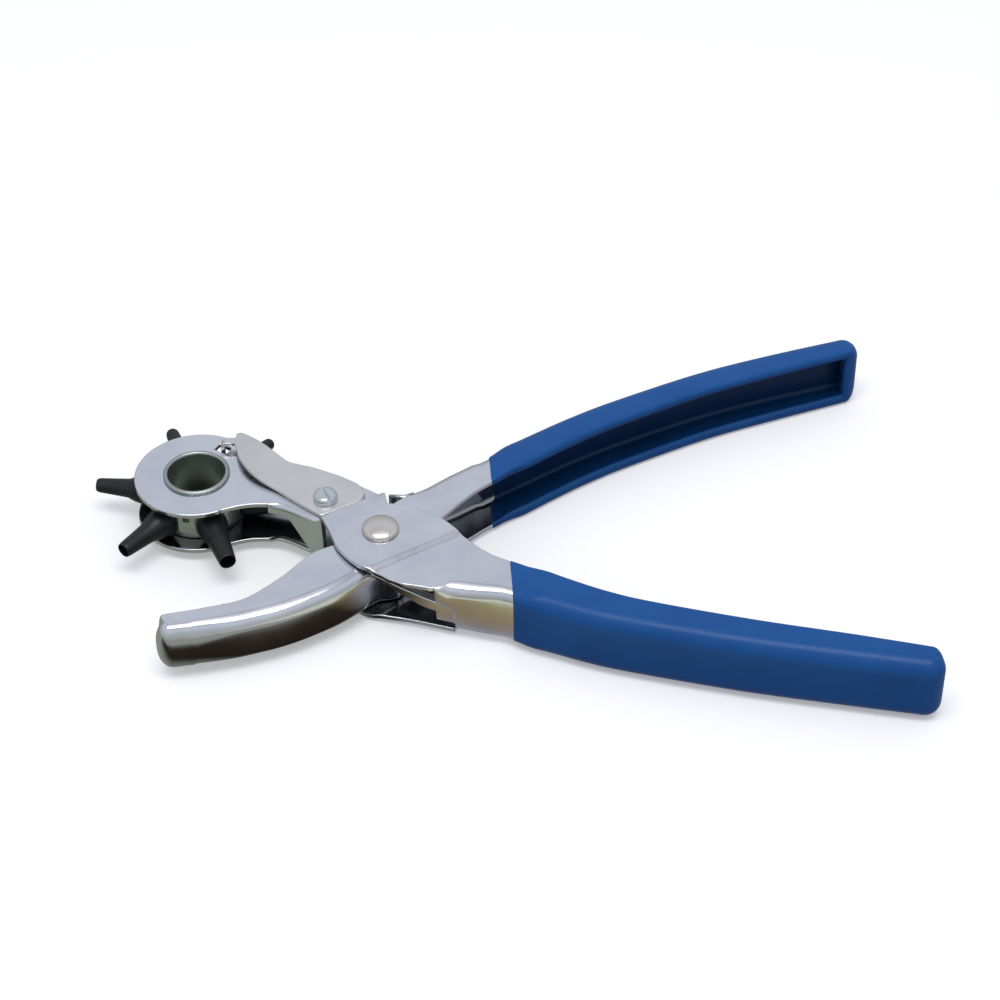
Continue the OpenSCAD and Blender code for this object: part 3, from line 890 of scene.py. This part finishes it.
def make_tube(number):
    """Punch tube: a root in the wheel, a shoulder, then a long taper to a ground edge."""
    angle = math.radians(WHEEL_TURN + 60 * (number - 1))
    hole = SMALLEST_HOLE / 2 + HOLE_STEP / 2 * (number - 1)
    tip = 0.95 + 0.7 * hole
    outer = [(3.4, 8.95), (3.4, 12.45), (4.2, 12.5), (4.28, 12.75), (4.26, 13.9), (4.1, 14.5),
             (3.72, 16.6), (3.3, 18.0), (tip + 0.62, 19.6), (tip + 0.3, 23.5), (tip, 27.6),
             (tip - 0.12, 28.1), (hole + 0.2, TIP_REACH - 0.05), (hole + 0.05, TIP_REACH - 0.02),
             (hole, TIP_REACH - 0.2), (hole, 24), (hole + 0.1, 18), (hole, 8.95)]
    middle = (WHEEL_LOW[2] + WHEEL_HIGH[2]) / 2
    obj = lathe(f"punch_tube_turned_{number}", outer, (*WHEEL, middle),
                (math.cos(angle), math.sin(angle), 0), 64)
    return finish_piece(obj, BLACK, "black_steel", "turret", f"punch_tube_{number}")


# ---- Detent ----

LEAF_T = 1.1
LEAF_TOP = HEAD_HALF + LEAF_GAP + LEAF_T
LEAF_FRONT = curve([[-15.6, 7.8], [-21, 12.8], [-26.4, 18.2], [-31.7, 22.8], [-34.6, 26],
                    [-36.6, 29.4], [-37.6, 32], [-38.3, 35.2], [-38.7, 38]])
LEAF_BACK = curve([[-38.2, 41.6], [-36.3, 41.6], [-31.2, 37.2], [-26.8, 32.4], [-24.1, 29.8],
                   [-20.8, 28.6], [-16.8, 27.2], [-10.3, 23.5], [-5.6, 20]])
LEAF_RUN = np.array([math.cos(math.radians(138)), math.sin(math.radians(138))])
LEAF_SIDE = curve([[-30, 0], [4, 0], [10, 0.06], [16, 0.5], [24, 1.4], [32, 1.6], [44, 1]], 8)


def leaf_level(p):
    """The leaf is flat under its screw, bows up, and levels out over its tooth."""
    along = (p - SCREW_AT) @ LEAF_RUN
    return LEAF_TOP + np.interp(along, LEAF_SIDE[:, 0], LEAF_SIDE[:, 1])


def make_leaf():
    loop, _ = refined(*joined(LEAF_FRONT[::-1], [[-4.9, 13.1], [-3.7, 16.2]], LEAF_BACK[::-1]), 1.0)
    rim = 0.3
    boundary = loop + inward(loop) * rim
    across = left_of(LEAF_RUN)
    grid = np.array([SCREW_AT + LEAF_RUN * a + across * b
                     for a in np.arange(-14, 44, 1.6) for b in np.arange(-12, 12, 1.9)])
    hole = arc(SCREW_AT, SCREW_R + 0.2 + rim, 0, 360, 32)[:-1]
    grid = grid[inside(boundary, grid) & (np.linalg.norm(grid - SCREW_AT, axis=1) > 4)]
    grid = grid[np.linalg.norm(grid[:, None] - boundary[None], axis=2).min(1) > 0.8]
    skin = Skin()
    verts, triangles = triangulated(boundary, [hole], grid)
    add_plates(skin, verts, triangles, leaf_level, constant(LEAF_T), (1,))
    leaf = skin.build("detent_leaf", rim)
    weigh_normals(leaf)
    angle = math.radians(TOOTH_ANGLE)
    tooth_at = WHEEL + TOOTH_REACH * np.array([math.cos(angle), math.sin(angle)])
    z = leaf_level(np.array([[-39.5, 38.6]]))[0] - LEAF_T / 2
    x, y, bend = tooth_at[0] + 0.1, tooth_at[1], 1.1
    path = [(-37.6, y, z), (x + bend + 0.6, y, z)]
    path += [(x + bend - bend * math.sin(a), y, z - bend + bend * math.cos(a))
             for a in np.radians(np.linspace(0, 90, 7))]
    path.append((x, y, WHEEL_HIGH[2] + 0.45))
    half, t, cut = 1.1, LEAF_T / 2, 0.2
    section = [(-half + cut, -t), (half - cut, -t), (half, -t + cut), (half, t - cut),
               (half - cut, t), (-half + cut, t), (-half, t - cut), (-half, -t + cut)]
    tooth = sweep("detent_tooth", path, section, (-0.2, 0, 1))
    finish_piece(tooth, LEAF_STEEL, "spring_steel", "detent")
    finish_piece(leaf, LEAF_STEEL, "spring_steel", "", "detent_spring")
    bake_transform(leaf)
    return leaf


# ---- Opening spring ----

COIL_R, WIRE_R, COIL_RISE = 5.2, 0.75, 3.8
LEG_ENDS = np.array([[26, -22], [21.8, 21.9]])


def make_opening_spring():
    """Torsion spring round the pivot, with one leg along each handle."""
    start, stop = (math.degrees(math.atan2(p[1], p[0])) for p in LEG_ENDS)
    lean = [math.degrees(math.acos(COIL_R / np.linalg.norm(p))) for p in LEG_ENDS]
    start, stop = start - lean[0], stop + lean[1] - 1080
    count = 150
    path = [(*LEG_ENDS[0], -COIL_RISE / 2)]
    for i in range(count + 1):
        a = math.radians(start + (stop - start) * i / count)
        path.append((COIL_R * math.cos(a), COIL_R * math.sin(a), COIL_RISE * (i / count - 0.5)))
    path.append((*LEG_ENDS[1], COIL_RISE / 2))
    section = arc((0, 0), WIRE_R, 0, 360, 16)[:-1]
    spring = sweep("opening_spring_wire", path, section)
    finish_piece(spring, WIRE_STEEL, "spring_wire", "", "opening_spring")
    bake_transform(spring)
    return spring


make_wheel_rivet()
make_pivot_rivet()
for number in range(1, TUBES + 1):
    make_tube(number)
make_leaf()
make_opening_spring()


# ---- CAD parts shown as they are ----

SHOWN = {"punch_wheel": (WHEEL_STEEL, 0.3), "wheel_washer": (PLAIN_STEEL, 0.15),
         "detent_screw": (SCREW_STEEL, 0.15), "detent_nut": (PLAIN_STEEL, 0.2),
         "pivot_sleeve": (PLAIN_STEEL, 0.15), "anvil_pad": (BRASS, 0.2),
         "anvil_saddle": (PLAIN_STEEL, 0.2)}
for node, (material, width) in SHOWN.items():
    obj = frame["nodes"][node]
    obj.data.materials.clear()
    obj.data.materials.append(material)
    bevel = obj.modifiers.new("soft edges", "BEVEL")
    bevel.width, bevel.segments = width * MM, 3
    bevel.limit_method, bevel.angle_limit = "ANGLE", math.radians(28)
for node, obj in frame["nodes"].items():
    if node not in SHOWN:
        obj.data.materials.clear()
        obj.data.materials.append({"punch_arm": PLATED, "anvil_arm": PLATED, "lower_grip": VINYL,
                                   "upper_grip": VINYL}.get(node, PLAIN_STEEL))


# ---- Floor, light and camera ----

def make_floor():
    """Pale and plain to look at. Glossy rays see painted reflections in its place, bands of dark brown,
    ochre and grey in front of the jaw and handle webs, and painted shade under the wheel rivet's bore;
    diffuse rays see it grey.
    """
    mesh = bpy.data.meshes.new("floor")
    size, low = 3.0, cad_box[0].z - 0.0002
    mesh.from_pydata([(-size, -size, low), (size, -size, low), (size, size, low), (-size, size, low)],
                     [], [(0, 1, 2, 3)])
    floor = bpy.data.objects.new("floor", mesh)
    bpy.context.scene.collection.objects.link(floor)
    look = Look("pale floor", Roughness=0.9, Base_Color=(0.86, 0.86, 0.87, 1), Specular_IOR_Level=0.0,
                Emission_Color=(1, 1, 1, 1), Emission_Strength=0.25)
    split = look.add("ShaderNodeSeparateXYZ")
    look.link(look.place, split.inputs[0])
    painted_reflection = look.add("ShaderNodeEmission")
    # Painted reflections: colour bands by distance in front of the jaw's outer edge and the lower handle's
    # web, which the polished webs show as set reflections.
    jaw = look.ramp(look.spread(ahead_of(look, split, JAW_OUTER[0], JAW_OUTER[-1]), 0, 1, -0.01, 0.03),
                    [(0.0, (0.30, 0.33, 0.27)), (0.14, (0.24, 0.26, 0.22)), (0.34, (0.02, 0.014, 0.01)),
                     (0.62, (0.03, 0.02, 0.015)), (0.74, (0.16, 0.15, 0.13)), (0.86, (0.34, 0.35, 0.32))])
    handle = look.ramp(look.spread(ahead_of(look, split, LOWER_WEB_LEAD[-8], edge(LOWER_STATIONS, -1)[1]),
                                   0, 1, 0.0, 0.03),
                       [(0.0, (0.34, 0.34, 0.40)), (0.25, (0.30, 0.23, 0.14)), (0.45, (0.42, 0.36, 0.18)),
                        (0.62, (0.72, 0.74, 0.60))])
    blend = look.add("ShaderNodeMix", data_type="RGBA")
    look.link(look.spread(split.outputs["X"], 0, 1, PIVOT[0] * MM - 0.002, PIVOT[0] * MM + 0.008),
              blend.inputs["Factor"])
    look.link(jaw, blend.inputs[6])
    look.link(handle, blend.inputs[7])
    # Painted shade: near black within about 4 to 11 mm of the wheel rivet, for its bore's inner wall to
    # reflect and be lit by.
    shade = look.add("ShaderNodeVectorMath", operation="DISTANCE")
    look.link(look.place, shade.inputs[0])
    shade.inputs[1].default_value = (*((WHEEL + PIVOT[:2]) * MM), low)
    painted_bore_shade = look.spread(shade.outputs["Value"], 1, 0, 0.004, 0.011)
    look.link(look.shaded(blend.outputs[2], painted_bore_shade, 0.03), painted_reflection.inputs["Color"])
    path, grey = look.add("ShaderNodeLightPath"), look.add("ShaderNodeBsdfDiffuse")
    plain = look.add("ShaderNodeRGB")
    plain.outputs[0].default_value = (0.30, 0.29, 0.32, 1)
    look.link(look.shaded(plain.outputs[0], painted_bore_shade, 0.05), grey.inputs["Color"])
    unseen, mix = look.add("ShaderNodeMixShader"), look.add("ShaderNodeMixShader")
    look.link(path.outputs["Is Glossy Ray"], unseen.inputs[0])
    look.link(grey.outputs[0], unseen.inputs[1])
    look.link(painted_reflection.outputs[0], unseen.inputs[2])
    look.link(path.outputs["Is Camera Ray"], mix.inputs[0])
    look.link(unseen.outputs[0], mix.inputs[1])
    look.link(look.shader.outputs[0], mix.inputs[2])
    look.link(mix.outputs[0], look.tree.nodes["Material Output"].inputs["Surface"])
    mesh.materials.append(look.material)


def ahead_of(look, split, start, stop):
    """Distance in front of a straight line on the floor, in metres."""
    start, stop = (np.array(start) + PIVOT[:2]) * MM, (np.array(stop) + PIVOT[:2]) * MM
    d = unit(stop - start)
    over = look.add("ShaderNodeMath", operation="MULTIPLY_ADD")
    look.link(split.outputs["X"], over.inputs[0])
    over.inputs[1].default_value = d[1]
    over.inputs[2].default_value = float(start[1] * d[0] - start[0] * d[1])
    total = look.add("ShaderNodeMath", operation="MULTIPLY_ADD")
    look.link(split.outputs["Y"], total.inputs[0])
    total.inputs[1].default_value = -d[0]
    look.link(over.outputs[0], total.inputs[2])
    return total.outputs[0]


def make_light(name, at, aim, size, power, colour=(1, 1, 1)):
    data = bpy.data.lights.new(name, "AREA")
    data.shape = "RECTANGLE"
    data.size, data.size_y = size
    data.energy = power
    data.color = colour
    light = bpy.data.objects.new(name, data)
    light.location = at
    light.rotation_euler = (Vector(aim) - Vector(at)).to_track_quat("-Z", "Y").to_euler()
    bpy.context.scene.collection.objects.link(light)


def make_world():
    """A soft room: lavender grey walls, brighter towards the ceiling."""
    world = bpy.data.worlds.new("studio")
    world.use_nodes = True
    bpy.context.scene.world = world
    tree = world.node_tree
    background = tree.nodes["Background"]
    place, split = tree.nodes.new("ShaderNodeTexCoord"), tree.nodes.new("ShaderNodeSeparateXYZ")
    ramp = tree.nodes.new("ShaderNodeValToRGB")
    stops = [(0.0, (0.46, 0.49, 0.45)), (0.4, (0.56, 0.58, 0.62)), (0.64, (0.72, 0.74, 0.83)),
             (0.78, (0.70, 0.72, 0.80)), (0.88, (0.46, 0.47, 0.54)), (0.95, (0.85, 0.85, 0.88)),
             (1.0, (1.0, 1.0, 1.0))]
    for i, (at, value) in enumerate(stops):
        stop = ramp.color_ramp.elements[i] if i < 2 else ramp.color_ramp.elements.new(at)
        stop.position, stop.color = at, (*value, 1)
    tree.links.new(place.outputs["Generated"], split.inputs[0])
    tree.links.new(split.outputs["Z"], ramp.inputs["Fac"])
    tree.links.new(ramp.outputs["Color"], background.inputs["Color"])
    background.inputs["Strength"].default_value = 0.95


def make_camera():
    """The camera looks down at the pivot from the front, far enough for a mild perspective."""
    elevation, roll, turn = math.radians(41.37), math.radians(0.84), math.radians(-3.0)
    distance, focal, sensor, side = 665.0, 2520.0, 36.0, 1000.0
    aim = np.array([382.0, 555.0])
    forward = np.array([0, math.cos(elevation), -math.sin(elevation)])
    right = np.array([1.0, 0, 0])
    up = np.array([0, math.sin(elevation), math.cos(elevation)])
    right, up = (math.cos(roll) * right - math.sin(roll) * up, math.sin(roll) * right + math.cos(roll) * up)
    rows = np.array([right, -up, forward])
    offset = np.append((aim - side / 2) / focal, 1) * distance
    centre = -rows.T @ offset
    spin = np.array([[math.cos(turn), -math.sin(turn), 0], [math.sin(turn), math.cos(turn), 0], [0, 0, 1]])
    centre, right, up, forward = (spin @ v for v in (centre, right, up, forward))
    data = bpy.data.cameras.new("camera")
    data.sensor_width = sensor
    data.lens = focal / side * sensor
    data.clip_start = 0.01
    camera = bpy.data.objects.new("camera", data)
    matrix = Matrix.Identity(4)
    for column, axis in enumerate((right, up, -forward)):
        for row in range(3):
            matrix[row][column] = axis[row]
    for row in range(3):
        matrix[row][3] = (centre[row] + PIVOT[row]) * MM
    camera.matrix_world = matrix
    bpy.context.scene.collection.objects.link(camera)
    bpy.context.scene.camera = camera


make_floor()
make_world()
make_camera()
make_light("overhead softbox", (0.05, -0.22, 0.9), (0.07, 0, 0), (0.7, 0.3), 3.2)
bpy.context.scene.view_settings.view_transform = "Standard"
